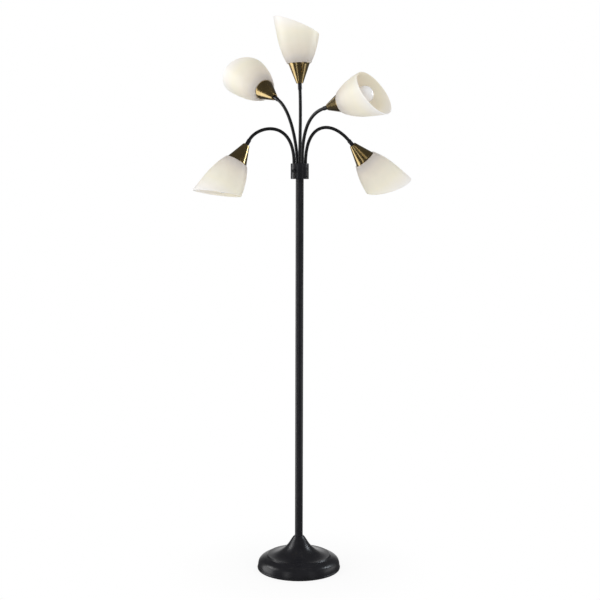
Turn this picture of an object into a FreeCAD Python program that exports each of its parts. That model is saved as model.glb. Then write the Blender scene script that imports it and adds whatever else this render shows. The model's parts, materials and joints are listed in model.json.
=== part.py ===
# Tree floor lamp: a weighted round base, a pole in three sections, a hub with a rotary switch,
# and five flexible necks that each carry a brass cone, a lampholder, a bulb and a slanted shade.
# Millimetres, +Z up, the origin on the floor under the pole's axis; the photograph looks along +Y.
import FreeCAD, Part
import math
import os
import re
import Sketcher

Vector = FreeCAD.Vector
Rotation = FreeCAD.Rotation
Placement = FreeCAD.Placement
UP = Vector(0, 0, 1)
ORIGIN = Vector(0, 0, 0)
HALF_FLAT_TURN = 30.0

doc = FreeCAD.newDocument("tree_floor_lamp")
sheet = doc.addObject("Spreadsheet::Sheet", "sizes")

# ---------------------------------------------------------------- driving sizes
SIZES = {
    # fits between pieces
    "running_fit": 0.06,
    "seat_fit": 0.05,
    "thread_fit": 0.05,
    "pole_fit": 0.15,
    # felt and weight in the foot
    "felt_inset": 0.6,
    "felt_thickness": 2.0,
    "weight_radius": 90.0,
    "weight_thickness": 25.0,
    "weight_chamfer": 3.0,
    "recess_radius": 20.0,
    "recess_roof": 4.5,
    "channel_width": 9.0,
    # spun steel cover of the foot
    "cover_wall": 1.2,
    "cover_radius": 128.3,
    "bead_radius": 2.2,
    "lip_height": 40.2,
    "lip_width": 27.0,
    "ring_step": 3.8,
    "ring_slope": 4.2,
    "dome_width": 20.8,
    "dome_rise": 3.0,
    "flare_foot_radius": 56.0,
    "flare_foot_height": 56.2,
    "flare_middle_radius": 33.0,
    "flare_middle_height": 76.8,
    "flare_neck_radius": 22.5,
    "flare_neck_height": 93.2,
    "cover_top_radius": 17.3,
    "cover_height": 102.6,
    "cover_top_round": 2.0,
    # inlet of the supply lead, at the back of the foot
    "inlet_height": 9.0,
    "grommet_radius": 4.5,
    "grommet_bore": 3.2,
    "grommet_flange": 6.2,
    "grommet_flange_thickness": 1.8,
    "grommet_length": 7.0,
    # threaded tube that clamps the pole to the weight
    "nipple_radius": 5.0,
    "nipple_bore": 3.4,
    "base_nut_flats": 17.0,
    "base_nut_thickness": 5.0,
    "base_washer_radius": 14.0,
    "base_washer_thickness": 1.5,
    # pole
    "pole_radius": 12.25,
    "pole_wall": 1.2,
    "pole_section": 401.0,
    "pole_plug": 8.0,
    "pole_edge": 0.4,
    "coupler_length": 50.0,
    "coupler_bore": 5.0,
    "wire_radius": 2.5,
    "wire_bend": 7.0,
    # hub
    "hub_radius": 27.7,
    "hub_height": 47.0,
    "hub_wall": 1.5,
    "hub_floor": 14.0,
    "hub_edge": 0.5,
    "hub_ledge": 0.5,
    "hub_plate": 3.0,
    "set_screw_radius": 2.0,
    "set_screw_height": 8.0,
    "set_screw_bearing": -41.0,
    "set_screw_sunk": 0.5,
    # rotary switch
    "switch_bearing": -122.0,
    "switch_height": 24.0,
    "switch_reach": 24.0,
    "switch_tail": 3.0,
    "switch_width": 14.0,
    "switch_depth": 18.0,
    "bushing_radius": 4.5,
    "bushing_stand": 2.2,
    "bushing_bore": 2.45,
    "switch_nut_flats": 12.0,
    "switch_nut_thickness": 2.0,
    "knob_radius": 4.75,
    "knob_length": 9.5,
    "knob_gap": 0.6,
    "knob_edge": 0.6,
    "shaft_insertion": 9.0,
    # necks
    "neck_radius": 5.0,
    "neck_bore": 3.4,
    "neck_tail": 12.0,
    "root_circle": 18.9,
    "neck_nut_flats": 13.0,
    "neck_nut_thickness": 5.0,
    "ferrule_radius": 6.25,
    "ferrule_length": 18.0,
    "ferrule_edge": 0.5,
    "stem_radius": 4.9,
    "stem_length": 34.0,
    # brass cone
    "cone_small_radius": 10.25,
    "cone_rim_radius": 33.0,
    "cone_length": 60.0,
    "cone_wall": 0.9,
    "cone_floor": 1.2,
    # lampholder
    "holder_radius": 17.0,
    "holder_height": 30.0,
    "holder_flange_radius": 23.0,
    "holder_flange_thickness": 3.0,
    "holder_sleeve_radius": 19.4,
    "holder_sleeve_length": 20.0,
    "holder_top": 34.0,
    "holder_chamfer": 3.0,
    "holder_core": 8.0,
    "holder_core_bore": 3.0,
    "shade_ring_width": 5.5,
    "shade_ring_height": 6.0,
    # bulb, 50 mm across with an E26 cap
    "bulb_radius": 25.0,
    "bulb_length": 96.0,
    "bulb_cap_radius": 13.2,
    "bulb_cap_length": 26.0,
    "bulb_wall": 1.0,
    "bulb_tip_radius": 5.0,
    "bulb_exhaust_hole": 1.5,
    "bulb_tip_rise": 6.0,
    "bulb_neck_radius": 14.5,
    "bulb_neck_rise": 4.0,
    "bulb_cap_clearance": 0.5,
    # shade
    "shade_wall": 2.2,
    "shade_flange": 2.4,
    "shade_foot_radius": 36.4,
    "shade_lower_radius": 49.1,
    "shade_lower_height": 27.6,
    "shade_middle_radius": 58.3,
    "shade_middle_height": 57.1,
    "shade_upper_radius": 64.1,
    "shade_upper_height": 86.7,
    "shade_mouth_radius": 72.2,
    "shade_long_side": 141.4,
    "shade_short_side": 84.5,
}

# Each arm: where its root stands on the hub (bearing), how far its neck keeps to its own way at the
# root and at the head (the pulls of its curve), where the cone's small end is (reach, bearing, rise
# above the hub), and how the head is aimed.
ARMS = {
    "left_low": dict(
        root_bearing=203.0, root_pull=134.0, head_pull=53.5, reach=166.1, bearing=195.6, rise=53.6,
        aim_bearing=203.2, aim_tilt=148.5, roll=185.7),
    "right_low": dict(
        root_bearing=23.0, root_pull=129.5, head_pull=83.0, reach=173.3, bearing=20.0, rise=59.8,
        aim_bearing=16.8, aim_tilt=137.3, roll=210.8),
    "left_high": dict(
        root_bearing=113.0, root_pull=44.0, head_pull=82.0, reach=127.1, bearing=128.4, rise=208.0,
        aim_bearing=127.8, aim_tilt=63.3, roll=69.5),
    "right_high": dict(
        root_bearing=-67.0, root_pull=69.0, head_pull=75.0, reach=165.4, bearing=-60.1, rise=158.7,
        aim_bearing=-42.3, aim_tilt=78.6, roll=-12.2),
    "centre": dict(
        root_bearing=180.0, root_pull=80.0, head_pull=80.0, reach=0.5, bearing=180.0, rise=240.4,
        aim_bearing=181.5, aim_tilt=2.3, roll=2.5),
}

# The lip's curve, from its foot to its top: the share of its width that it has come in, the share
# of its rise that is left, and the angle of its normal above the level.
LIP_CURVE = [(0.0, 1.0, 0), (0.02, 0.72, 5), (0.16, 0.38, 30), (0.45, 0.18, 54), (1.0, 0.0, 70)]

# The angle of the normal at each point of the dome and flare, and of the shade from foot to mouth.
FLARE_LEANS = [80, 76, 58, 41, 30, 34]
SHADE_LEANS = [-28, -21, -14, -10, -7]

for arm_name, arm_sizes in ARMS.items():
    for size_name, number in arm_sizes.items():
        SIZES[arm_name + "_" + size_name] = number

for row, (alias, number) in enumerate(SIZES.items(), start=1):
    sheet.set("A%d" % row, alias)
    sheet.set("B%d" % row, str(number))
    sheet.setAlias("B%d" % row, alias)
doc.recompute()


def size(alias):
    """The number that the sheet holds under an alias."""
    return float(sheet.get(alias))


def bound(words):
    """A sheet expression from plain words: every alias in it is looked up in the sheet."""
    return re.sub(r"[a-z][a-z_0-9]*", lambda word: "sizes." + word.group(0), words)


# ---------------------------------------------------------------- levels worked out from the sizes
WEIGHT_TOP = "felt_thickness + weight_thickness"
HUB_BOTTOM = "felt_thickness + weight_thickness + 3 * pole_section - hub_floor"
weight_top = size("felt_thickness") + size("weight_thickness")
pole_top = weight_top + 3 * size("pole_section")
hub_bottom = pole_top - size("hub_floor")
hub_top = hub_bottom + size("hub_height")

sub_parts = []


def keep(feature, label):
    """Give a finished object its sub-part name and put it on the list of files."""
    feature.Label = label
    sub_parts.append(feature)
    return feature


# ---------------------------------------------------------------- ways of making a piece
def body_plane(body, role):
    return [plane for plane in body.Origin.OriginFeatures if plane.Role == role][0]


def drawn_outline(body, name, plane, corners):
    """A closed sketch of straight lines whose corners are held by sheet expressions."""
    sketch = body.newObject("Sketcher::SketchObject", name)
    sketch.AttachmentSupport = [(body_plane(body, plane), "")]
    sketch.MapMode = "FlatFace"
    count = len(corners)
    turn = 2 * math.pi / count
    rough = [Vector(2 + math.cos(i * turn), 2 + math.sin(i * turn), 0) for i in range(count)]
    for index in range(count):
        following = (index + 1) % count
        sketch.addGeometry(Part.LineSegment(rough[index], rough[following]), False)
    for index in range(count):
        sketch.addConstraint(Sketcher.Constraint("Coincident", index, 2, (index + 1) % count, 1))
    for index, (across, along) in enumerate(corners):
        point = rough[index]
        for kind, words, start in (("DistanceX", across, point.x), ("DistanceY", along, point.y)):
            if words == "0":
                axis = -2 if kind == "DistanceX" else -1
                sketch.addConstraint(Sketcher.Constraint("PointOnObject", index, 1, axis))
            else:
                held = sketch.addConstraint(Sketcher.Constraint(kind, -1, 1, index, 1, start))
                sketch.setExpression("Constraints[%d]" % held, bound(words))
    return sketch


def turned(name, corners):
    """A lathe-turned piece: corners are (radius, height) in sheet expressions."""
    body = doc.addObject("PartDesign::Body", name)
    sketch = drawn_outline(body, name + "_outline", "XZ_Plane", corners)
    revolution = body.newObject("PartDesign::Revolution", name + "_turned")
    revolution.Profile = sketch
    revolution.ReferenceAxis = (sketch, ["V_Axis"])
    revolution.Angle = 360.0
    return body


def hexagon_pad(name, flats, bore, thickness):
    """A hexagon nut: a padded hexagon with its bore pocketed through."""
    body = doc.addObject("PartDesign::Body", name)
    sketch = body.newObject("Sketcher::SketchObject", name + "_hexagon")
    sketch.AttachmentSupport = [(body_plane(body, "XY_Plane"), "")]
    sketch.MapMode = "FlatFace"
    corner_radius = size(flats) / math.sqrt(3)
    for index in range(6):
        ends = [Rotation(UP, 60 * i).multVec(Vector(corner_radius, 0, 0)) for i in (index, index + 1)]
        sketch.addGeometry(Part.LineSegment(ends[0], ends[1]), False)
    guide = sketch.addGeometry(Part.Circle(ORIGIN, UP, corner_radius), True)
    for index in range(6):
        sketch.addConstraint(Sketcher.Constraint("Coincident", index, 2, (index + 1) % 6, 1))
        sketch.addConstraint(Sketcher.Constraint("PointOnObject", index, 1, guide))
    for index in range(5):
        sketch.addConstraint(Sketcher.Constraint("Equal", index, index + 1))
    sketch.addConstraint(Sketcher.Constraint("Coincident", guide, 3, -1, 1))
    sketch.addConstraint(Sketcher.Constraint("PointOnObject", 0, 1, -1))
    held = sketch.addConstraint(Sketcher.Constraint("Radius", guide, corner_radius))
    sketch.setExpression("Constraints[%d]" % held, bound(flats) + " / sqrt(3)")
    hole = sketch.addGeometry(Part.Circle(ORIGIN, UP, 1.0), False)
    sketch.addConstraint(Sketcher.Constraint("Coincident", hole, 3, -1, 1))
    held = sketch.addConstraint(Sketcher.Constraint("Radius", hole, 1.0))
    sketch.setExpression("Constraints[%d]" % held, bound(bore))
    pad = body.newObject("PartDesign::Pad", name + "_pad")
    pad.Profile = sketch
    pad.setExpression("Length", bound(thickness))
    return body


def rod(name, radius, length, placement):
    """A plain cylinder, as a drill or a bar, along its own Z from its placement."""
    cylinder = doc.addObject("Part::Cylinder", name)
    cylinder.setExpression("Radius", bound(radius))
    cylinder.setExpression("Height", bound(length))
    cylinder.Placement = placement
    return cylinder


def joined(name, pieces):
    fuse = doc.addObject("Part::MultiFuse", name)
    fuse.Shapes = pieces
    return fuse


def cut_away(name, blank, tool):
    cut = doc.addObject("Part::Cut", name)
    cut.Base = blank
    cut.Tool = tool
    return cut


def scripted(name, shape):
    feature = doc.addObject("Part::Feature", name)
    feature.Shape = shape
    return feature


def raise_to(feature, words):
    feature.setExpression("Placement.Base.z", bound(words))
    return feature


def outwards(bearing, height, distance=0.0):
    """A placement whose Z points out from the pole at a bearing, starting at a distance."""
    turn = Rotation(UP, bearing)
    tip_over = Rotation(Vector(0, 1, 0), 90)
    start = turn.multVec(Vector(distance, 0, 0)) + Vector(0, 0, height)
    return Placement(start, turn.multiply(tip_over))


def smooth(points):
    """One smooth edge through (radius, height) points in the XZ plane."""
    curve = Part.BSplineCurve()
    curve.interpolate([Vector(radius, 0, height) for radius, height in points])
    return curve.toShape()


def straight(points):
    corners = [Vector(radius, 0, height) for radius, height in points]
    return [Part.makeLine(start, end) for start, end in zip(corners, corners[1:])]


def revolved(edges):
    """A solid of revolution about Z from the edges of a closed outline."""
    outline = Part.Wire(Part.__sortEdges__(edges))
    return Part.Face(outline).revolve(ORIGIN, UP, 360)


def set_in(points, depth):
    """Points moved into the wall: each is (radius, height, angle of the surface's normal)."""
    moved = []
    for radius, height, angle in points:
        lean = math.radians(angle)
        moved.append((radius - depth * math.cos(lean), height - depth * math.sin(lean)))
    return moved


# ---------------------------------------------------------------- foot
def make_base_felt():
    edge = "cover_radius - cover_wall / 2 + bead_radius - felt_inset"
    disc = turned("base_felt", [
        ("0", "0"), (edge, "0"), (edge, "felt_thickness"), ("0", "felt_thickness")])
    keep(disc, "base_felt")


def make_base_weight():
    blank = turned("base_weight_blank", [
        ("nipple_radius + running_fit", "weight_thickness - recess_roof"),
        ("recess_radius", "weight_thickness - recess_roof"),
        ("recess_radius", "0"),
        ("weight_radius", "0"),
        ("weight_radius", "weight_thickness - weight_chamfer"),
        ("weight_radius - weight_chamfer", "weight_thickness"),
        ("nipple_radius + running_fit", "weight_thickness")])
    raise_to(blank, "felt_thickness")
    channel = doc.addObject("Part::Box", "base_weight_channel")
    channel.setExpression("Length", bound("channel_width"))
    channel.setExpression("Width", bound("weight_radius"))
    channel.setExpression("Height", bound("inlet_height + channel_width / 2 - felt_thickness"))
    channel.setExpression("Placement.Base.x", bound("channel_width / (0 - 2)"))
    channel.setExpression("Placement.Base.z", bound("felt_thickness"))
    keep(cut_away("base_weight", blank, channel), "base_weight")


def cover_points():
    """Points of the cover's two smooth stretches, each with the angle of its normal."""
    edge, top = size("cover_radius"), size("lip_height")
    width, rise = size("lip_width"), top - 2 * size("bead_radius")
    lip = [(edge - inwards * width, top - below * rise, lean) for inwards, below, lean in LIP_CURVE]
    ring = edge - width - size("ring_slope")
    ring_height = top + size("ring_step")
    flare = [
        (ring, ring_height),
        (ring - size("dome_width"), ring_height + size("dome_rise")),
        (size("flare_foot_radius"), size("flare_foot_height")),
        (size("flare_middle_radius"), size("flare_middle_height")),
        (size("flare_neck_radius"), size("flare_neck_height")),
        (size("cover_top_radius"), size("cover_height") - size("cover_top_round"))]
    return lip, [point + (lean,) for point, lean in zip(flare, FLARE_LEANS)]


def make_base_cover():
    lip, flare = cover_points()
    hole = size("pole_radius") + size("pole_fit")
    top = size("cover_height")
    crown = size("cover_top_radius") - size("cover_top_round")
    outer_lip, outer_flare = set_in(lip, 0), set_in(flare, 0)
    inner_lip, inner_flare = set_in(lip, size("cover_wall")), set_in(flare, size("cover_wall"))
    edges = [smooth(outer_lip), smooth(outer_flare), smooth(inner_lip), smooth(inner_flare)]
    edges += straight([outer_lip[-1], outer_flare[0]])
    edges += straight([
        outer_flare[-1], (crown, top), (hole, top), (hole, top - size("cover_wall")), inner_flare[-1]])
    edges += straight([inner_flare[0], inner_lip[-1]])
    edges += straight([inner_lip[0], outer_lip[0]])
    shell = revolved(edges)
    bead_middle = Vector(0, 0, size("felt_thickness") + size("bead_radius"))
    bead_circle = size("cover_radius") - size("cover_wall") / 2
    bead = Part.makeTorus(bead_circle, size("bead_radius"), bead_middle)
    inlet = Part.makeCylinder(
        size("grommet_radius") + size("seat_fit"), size("cover_radius"),
        Vector(0, size("weight_radius"), size("inlet_height")), Vector(0, 1, 0))
    flange_seat = Part.makeCylinder(
        size("grommet_flange") + size("seat_fit"), size("cover_radius"),
        Vector(0, size("cover_radius"), size("inlet_height")), Vector(0, 1, 0))
    keep(scripted("base_cover", shell.fuse(bead).cut([inlet, flange_seat])), "base_cover")


def make_cord_grommet():
    outside = "grommet_length - grommet_flange_thickness"
    bush = turned("cord_grommet", [
        ("grommet_bore", "0"), ("grommet_radius", "0"), ("grommet_radius", outside),
        ("grommet_flange", outside), ("grommet_flange", "grommet_length"),
        ("grommet_bore", "grommet_length")])
    start = size("cover_radius") + size("grommet_flange_thickness") - size("grommet_length")
    bush.Placement = outwards(90, size("inlet_height"), start + size("seat_fit"))
    keep(bush, "cord_grommet")


def make_base_fasteners():
    roof = WEIGHT_TOP + " - recess_roof"
    washer = turned("base_washer", [
        ("nipple_radius + running_fit", "0"), ("base_washer_radius", "0"),
        ("base_washer_radius", "base_washer_thickness"),
        ("nipple_radius + running_fit", "base_washer_thickness")])
    keep(raise_to(washer, roof + " - base_washer_thickness"), "base_washer")
    nut = hexagon_pad(
        "base_nut", "base_nut_flats", "nipple_radius + thread_fit", "base_nut_thickness")
    keep(raise_to(nut, roof + " - base_washer_thickness - base_nut_thickness"), "base_nut")
    length = WEIGHT_TOP + " + pole_plug - inlet_height - wire_bend"
    nipple = turned("base_nipple", [
        ("nipple_bore", "0"), ("nipple_radius", "0"), ("nipple_radius", length), ("nipple_bore", length)])
    keep(raise_to(nipple, "inlet_height + wire_bend"), "base_nipple")


# ---------------------------------------------------------------- pole
def make_pole():
    inner = "pole_radius - pole_wall"
    edge = "pole_radius - pole_edge"
    lower = turned("pole_lower", [
        ("nipple_radius + thread_fit", "0"), ("pole_radius", "0"),
        ("pole_radius", "pole_section - pole_edge"), (edge, "pole_section"), (inner, "pole_section"),
        (inner, "pole_plug"), ("nipple_radius + thread_fit", "pole_plug")])
    keep(raise_to(lower, WEIGHT_TOP), "pole_lower")
    for index, label in ((1, "pole_middle"), (2, "pole_upper")):
        tube = turned(label, [
            (inner, "0"), (edge, "0"), ("pole_radius", "pole_edge"),
            ("pole_radius", "pole_section - pole_edge"), (edge, "pole_section"), (inner, "pole_section")])
        keep(raise_to(tube, WEIGHT_TOP + " + %d * pole_section" % index), label)
    for index, label in ((1, "pole_coupler_lower"), (2, "pole_coupler_upper")):
        coupler = turned(label, [
            ("coupler_bore", "0"), (inner + " - thread_fit", "0"),
            (inner + " - thread_fit", "coupler_length"), ("coupler_bore", "coupler_length")])
        level = WEIGHT_TOP + " + %d * pole_section - coupler_length / 2" % index
        keep(raise_to(coupler, level), label)


def make_pole_wire():
    """The insulated supply lead inside the lamp, from the inlet to the switch."""
    radius, bend, low = size("wire_radius"), size("wire_bend"), size("inlet_height")
    top = hub_bottom + size("switch_height") - size("switch_depth") / 2
    start = Vector(0, size("cover_radius"), low)
    turn_start = Vector(0, bend, low)
    run = Part.makeCylinder(radius, (start - turn_start).Length, turn_start, Vector(0, 1, 0))
    elbow_face = Part.Face(Part.Wire(Part.makeCircle(radius, turn_start, Vector(0, 1, 0))))
    elbow = elbow_face.revolve(Vector(0, bend, low + bend), Vector(1, 0, 0), -90)
    rise = Part.makeCylinder(radius, top - low - bend, Vector(0, 0, low + bend), UP)
    wire = run.fuse([elbow, rise]).removeSplitter()
    keep(scripted("pole_wire", wire), "pole_wire")


# ---------------------------------------------------------------- hub and switch
def arm_root(arm_name):
    """Where an arm's neck stands on the hub's top plate."""
    circle = 0.0 if arm_name == "centre" else size("root_circle")
    turn = Rotation(UP, size(arm_name + "_root_bearing"))
    return turn.multVec(Vector(circle, 0, 0)) + Vector(0, 0, hub_top)


def make_hub():
    pole_hole = "pole_radius + pole_fit"
    inner = "hub_radius - hub_wall"
    blank = turned("hub_body_blank", [
        (pole_hole, "0"), ("hub_radius - hub_edge", "0"), ("hub_radius", "hub_edge"),
        ("hub_radius", "hub_height - hub_edge"), ("hub_radius - hub_edge", "hub_height"),
        (inner + " + hub_ledge", "hub_height"), (inner + " + hub_ledge", "hub_height - hub_plate"),
        (inner, "hub_height - hub_plate"), (inner, "hub_floor"), (pole_hole, "hub_floor")])
    raise_to(blank, HUB_BOTTOM)
    drills = [rod(
        "hub_switch_drill", "bushing_radius + seat_fit", "hub_radius",
        outwards(size("switch_bearing"), hub_bottom + size("switch_height")))]
    for index in range(2):
        bearing = size("set_screw_bearing") + 180 * index
        drills.append(rod(
            "hub_screw_drill_%d" % (index + 1), "set_screw_radius + thread_fit", "hub_radius",
            outwards(bearing, hub_bottom + size("set_screw_height"))))
    keep(cut_away("hub_body", blank, joined("hub_drills", drills)), "hub_body")

    plate = turned("hub_top_plate_blank", [
        ("0", "0"), (inner + " + hub_ledge - seat_fit", "0"),
        (inner + " + hub_ledge - seat_fit", "hub_plate"), ("0", "hub_plate")])
    raise_to(plate, HUB_BOTTOM + " + hub_height - hub_plate")
    holes = []
    for arm_name in ARMS:
        low_end = arm_root(arm_name) - Vector(0, 0, size("hub_wall") + size("hub_plate"))
        holes.append(rod(
            arm_name + "_plate_drill", "neck_radius + running_fit", "hub_plate + 2 * hub_wall",
            Placement(low_end, Rotation())))
    keep(cut_away("hub_top_plate", plate, joined("plate_drills", holes)), "hub_top_plate")


def make_set_screws():
    screws = []
    length = "hub_radius - set_screw_sunk - pole_radius"
    for index in range(2):
        bearing = size("set_screw_bearing") + 180 * index
        screws.append(rod(
            "hub_set_screw_%d" % (index + 1), "set_screw_radius", length,
            outwards(bearing, hub_bottom + size("set_screw_height"), size("pole_radius"))))
    keep(joined("hub_set_screws", screws), "hub_set_screws")


def make_neck_nuts():
    nuts = []
    for arm_name in ARMS:
        nut = hexagon_pad(
            arm_name + "_neck_nut", "neck_nut_flats", "neck_radius + running_fit", "neck_nut_thickness")
        drop = size("hub_plate") + size("neck_nut_thickness")
        flat_outwards = Rotation(UP, size(arm_name + "_root_bearing") + HALF_FLAT_TURN)
        nut.Placement = Placement(arm_root(arm_name) - Vector(0, 0, drop), flat_outwards)
        nuts.append(nut)
    group = doc.addObject("Part::Compound", "neck_nuts")
    group.Links = nuts
    keep(group, "neck_nuts")


def make_switch():
    bearing = size("switch_bearing")
    level = hub_bottom + size("switch_height")
    case = doc.addObject("Part::Box", "switch_case")
    case.setExpression("Length", bound("switch_depth"))
    case.setExpression("Width", bound("switch_width"))
    case.setExpression("Height", bound("switch_reach + switch_tail"))
    corner = Vector(-size("switch_depth") / 2, -size("switch_width") / 2, -size("switch_tail"))
    pointing = outwards(bearing, level)
    case.Placement = Placement(pointing.multVec(corner), pointing.Rotation)
    bushing = rod(
        "switch_bushing", "bushing_radius", "hub_radius + bushing_stand - switch_reach",
        outwards(bearing, level, size("switch_reach")))
    bore_start = size("hub_radius") + size("bushing_stand") - size("shaft_insertion")
    bore = rod(
        "switch_bore", "bushing_bore", "shaft_insertion + hub_wall", outwards(bearing, level, bore_start))
    solid = joined("switch_solid", [case, bushing])
    keep(cut_away("switch_body", solid, bore), "switch_body")

    nut = hexagon_pad(
        "switch_nut", "switch_nut_flats", "bushing_radius + thread_fit", "switch_nut_thickness")
    nut.Placement = outwards(bearing, level, size("hub_radius"))
    keep(nut, "switch_nut")

    shaft = "bushing_bore - running_fit"
    knob = turned("switch_knob", [
        ("0", "0"), (shaft, "0"), (shaft, "shaft_insertion - seat_fit + knob_gap"),
        ("knob_radius", "shaft_insertion - seat_fit + knob_gap"),
        ("knob_radius", "shaft_insertion + knob_length - knob_edge"),
        ("knob_radius - knob_edge", "shaft_insertion + knob_length"),
        ("0", "shaft_insertion + knob_length")])
    knob.Placement = outwards(bearing, level, bore_start + size("seat_fit"))
    keep(knob, "switch_knob")


# ---------------------------------------------------------------- necks
def head_placement(arm_name):
    """Local Z runs from the cone's small end to the shade's mouth, local X to the shade's long side."""
    out = Rotation(UP, size(arm_name + "_bearing")).multVec(Vector(size(arm_name + "_reach"), 0, 0))
    tip = out + Vector(0, 0, hub_top + size(arm_name + "_rise"))
    aim = Rotation(UP, size(arm_name + "_aim_bearing"))
    aim = aim.multiply(Rotation(Vector(0, 1, 0), size(arm_name + "_aim_tilt")))
    return Placement(tip, aim.multiply(Rotation(UP, size(arm_name + "_roll"))))


def neck_poles(arm_name):
    """The four poles of a neck's curve, from its root on the hub to its end in the ferrule."""
    root, head = arm_root(arm_name), head_placement(arm_name)
    way = head.Rotation.multVec(UP)
    neck_end = head.Base - way * size("ferrule_length")
    leaving = root + UP * size(arm_name + "_root_pull")
    arriving = neck_end - way * size(arm_name + "_head_pull")
    return [root, leaving, arriving, neck_end]


def two_halves(poles):
    """The poles of the two halves of a curve, found by halving the lines between its poles."""
    rows = [poles]
    while len(rows[-1]) > 1:
        rows.append([(before + after) / 2 for before, after in zip(rows[-1], rows[-1][1:])])
    return [row[0] for row in rows], [row[-1] for row in reversed(rows)]


def curved_edge(poles):
    curve = Part.BezierCurve()
    curve.setPoles(poles)
    return curve.toShape()


def tube_along(edges, start, way):
    """A hollow tube of the neck's section along edges that run smoothly into each other."""
    spine = Part.Wire(edges)
    walls = []
    for radius in (size("neck_radius"), size("neck_bore")):
        ring = Part.Wire(Part.makeCircle(radius, start, way))
        walls.append(spine.makePipeShell([ring], True, False))
    return walls[0].cut(walls[1])


def make_neck(arm_name):
    low_poles, high_poles = two_halves(neck_poles(arm_name))
    root, meeting, neck_end = low_poles[0], high_poles[0], high_poles[-1]
    tail = root - UP * size("neck_tail")
    first, second = curved_edge(low_poles), curved_edge(high_poles)
    lower = tube_along([Part.makeLine(tail, root), first], tail, UP)
    upper = tube_along([second], meeting, (high_poles[1] - meeting).normalize())
    keep(scripted(arm_name + "_neck_lower", lower), arm_name + "_neck_lower")
    keep(scripted(arm_name + "_neck_upper", upper), arm_name + "_neck_upper")
    side = UP.cross(Vector(meeting.x - root.x, meeting.y - root.y, 0))
    print("neck", arm_name, "length %.1f" % (first.Length + second.Length),
          "meeting %.3f %.3f %.3f" % tuple(meeting), "end %.3f %.3f %.3f" % tuple(neck_end),
          "side %.5f %.5f" % (side.x, side.y))


# ---------------------------------------------------------------- heads
def seat_on(feature, placement, along=0.0):
    """Set a piece on a head's axis, a distance along from the cone's small end."""
    feature.Placement = placement.multiply(Placement(Vector(0, 0, along), Rotation()))
    return feature


def make_ferrule(arm_name, placement):
    end = "ferrule_length"
    piece = turned(arm_name + "_ferrule", [
        ("neck_bore", "0"), ("ferrule_radius - ferrule_edge", "0"), ("ferrule_radius", "ferrule_edge"),
        ("ferrule_radius", end + " - ferrule_edge"), ("ferrule_radius - ferrule_edge", end),
        ("stem_radius", end), ("stem_radius", end + " + stem_length"), ("neck_bore", end + " + stem_length")])
    keep(seat_on(piece, placement, -size("ferrule_length")), arm_name + "_ferrule")


def make_cone(arm_name, placement):
    hole = "stem_radius + seat_fit"
    piece = turned(arm_name + "_cone", [
        (hole, "0"), ("cone_small_radius", "0"), ("cone_rim_radius", "cone_length"),
        ("cone_rim_radius - cone_wall", "cone_length"), ("cone_small_radius - cone_wall / 2", "cone_floor"),
        (hole, "cone_floor")])
    keep(seat_on(piece, placement), arm_name + "_cone")


def make_lampholder(arm_name, placement):
    core_top = "holder_height + holder_core"
    sleeve_top = "holder_height + holder_sleeve_length"
    top = "holder_height + holder_top"
    socket = "bulb_cap_radius + bulb_cap_clearance"
    stem_end = "stem_length + holder_height - cone_length"
    piece = turned(arm_name + "_lampholder", [
        ("stem_radius + seat_fit", "0"), ("holder_radius - holder_chamfer", "0"),
        ("holder_radius", "holder_chamfer"), ("holder_radius", "holder_height - holder_flange_thickness"),
        ("holder_flange_radius", "holder_height - holder_flange_thickness"),
        ("holder_flange_radius", "holder_height"), ("holder_sleeve_radius", "holder_height"),
        ("holder_sleeve_radius", sleeve_top), (socket + " + holder_chamfer", top), (socket, top),
        (socket, core_top), ("holder_core_bore", core_top), ("holder_core_bore", stem_end),
        ("stem_radius + seat_fit", stem_end)])
    keep(seat_on(piece, placement, size("cone_length") - size("holder_height")), arm_name + "_lampholder")


def make_shade_ring(arm_name, placement):
    inner = "holder_sleeve_radius + thread_fit"
    outer = inner + " + shade_ring_width"
    piece = turned(arm_name + "_shade_ring", [
        (inner, "0"), (outer, "0"), (outer, "shade_ring_height"), (inner, "shade_ring_height")])
    keep(seat_on(piece, placement, size("cone_length") + size("shade_flange")), arm_name + "_shade_ring")


def bulb_outline(wall):
    """The bulb's half outline from its crown to its cap's tip, set in by a wall."""
    radius, middle = size("bulb_radius") - wall, size("bulb_length") - size("bulb_radius")
    cap_radius, cap_length = size("bulb_cap_radius") - wall, size("bulb_cap_length")
    neck_radius, neck_height = size("bulb_neck_radius") - wall, cap_length + size("bulb_neck_rise")
    crown = Part.Arc(
        Vector(0, 0, middle + radius), Vector(radius * math.sqrt(0.5), 0, middle + radius * math.sqrt(0.5)),
        Vector(radius, 0, middle)).toShape()
    shoulder = Part.BezierCurve()
    pull = (middle - neck_height) / 2
    shoulder.setPoles([
        Vector(radius, 0, middle), Vector(radius, 0, middle - pull),
        Vector(neck_radius, 0, neck_height + pull), Vector(neck_radius, 0, neck_height)])
    cap = straight([
        (neck_radius, neck_height), (cap_radius, cap_length), (cap_radius, size("bulb_tip_rise")),
        (size("bulb_tip_radius") - wall, wall)])
    return [crown, shoulder.toShape()] + cap


def bulb_solid():
    """A hollow bulb with its screw cap; the exhaust hole in the cap's tip is left open."""
    wall, length = size("bulb_wall"), size("bulb_length")
    tip, hole = size("bulb_tip_radius"), size("bulb_exhaust_hole")
    edges = bulb_outline(0.0) + bulb_outline(wall)
    edges += straight([(tip, 0), (hole, 0), (hole, wall), (tip - wall, wall)])
    edges += straight([(0, length - wall), (0, length)])
    return revolved(edges)


def shade_points():
    """Points of the shade's outer line, each with the angle of its normal."""
    line = [
        (size("shade_foot_radius"), 0),
        (size("shade_lower_radius"), size("shade_lower_height")),
        (size("shade_middle_radius"), size("shade_middle_height")),
        (size("shade_upper_radius"), size("shade_upper_height")),
        (size("shade_mouth_radius"), size("shade_long_side"))]
    return [point + (lean,) for point, lean in zip(line, SHADE_LEANS)]


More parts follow.
